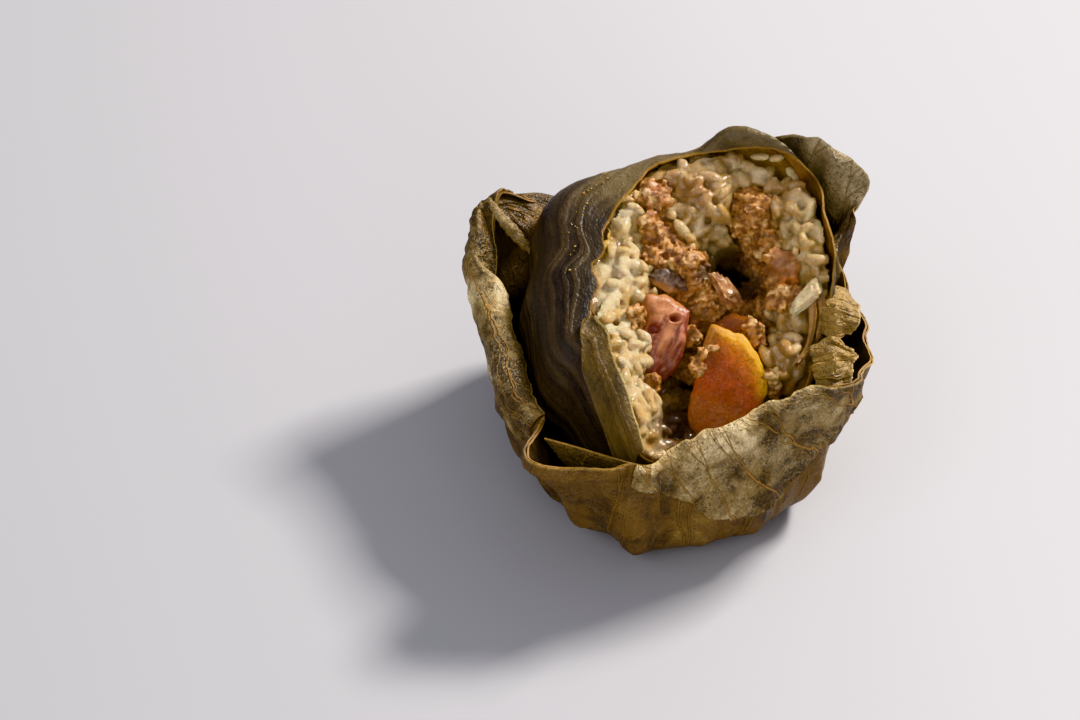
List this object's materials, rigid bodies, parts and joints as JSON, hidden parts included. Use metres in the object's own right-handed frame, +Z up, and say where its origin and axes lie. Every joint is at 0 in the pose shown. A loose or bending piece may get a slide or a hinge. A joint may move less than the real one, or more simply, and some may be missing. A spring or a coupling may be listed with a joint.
{
  "type": "lotus leaf sticky rice",
  "caption": "Sticky rice parcel wrapped in steamed lotus leaf, torn open at the top to show rice, minced pork, cured pork, mushroom and salted egg yolk.",
  "frame": {"origin": "on the flat underside of the outer leaf, near the middle of its base", "axes": "+Z up, +Y towards the hooded back of the parcel, -Y towards the viewer of the torn mouth, +X to that viewer's right"},
  "size_m": [0.0993, 0.0971, 0.0779],
  "materials": {
    "outer_leaf": "dull, finely veined, grey-tan underside of a steamed leaf",
    "inner_leaf": "oily satin, dark brown-olive upper side",
    "leaf_flap": "satin olive",
    "leaf_fold": "dull cream-tan",
    "leaf_pleat": "dull tan-brown with dark specks",
    "leaf_shred": "dull olive-gold",
    "leaf_vein": "golden brown, fibrous",
    "rice": "moist, translucent, glossy",
    "mince": "moist, crumbly, glossy",
    "cured_pork": "moist, fibrous",
    "mushroom": "wet, glossy",
    "egg_yolk": "fine-grained, oily",
    "egg_yolk_inner": "fine-grained, oily"
  },
  "bodies": {
    "root": {"leaf_outer": "outer_leaf", "leaf_inner": "inner_leaf", "leaf_flap": "leaf_flap", "leaf_fold": "leaf_fold", "leaf_pleat": "leaf_pleat", "leaf_shred_1": "leaf_shred", "leaf_shred_2": "leaf_shred", "leaf_vein_1": "leaf_vein", "leaf_vein_2": "leaf_vein", "leaf_vein_3": "leaf_vein", "rice": "rice", "mince_filling": "mince", "cured_pork": "cured_pork", "mushroom_slice": "mushroom", "egg_yolk": "egg_yolk", "egg_yolk_sliver": "egg_yolk_inner"}
  },
  "joints": []
}
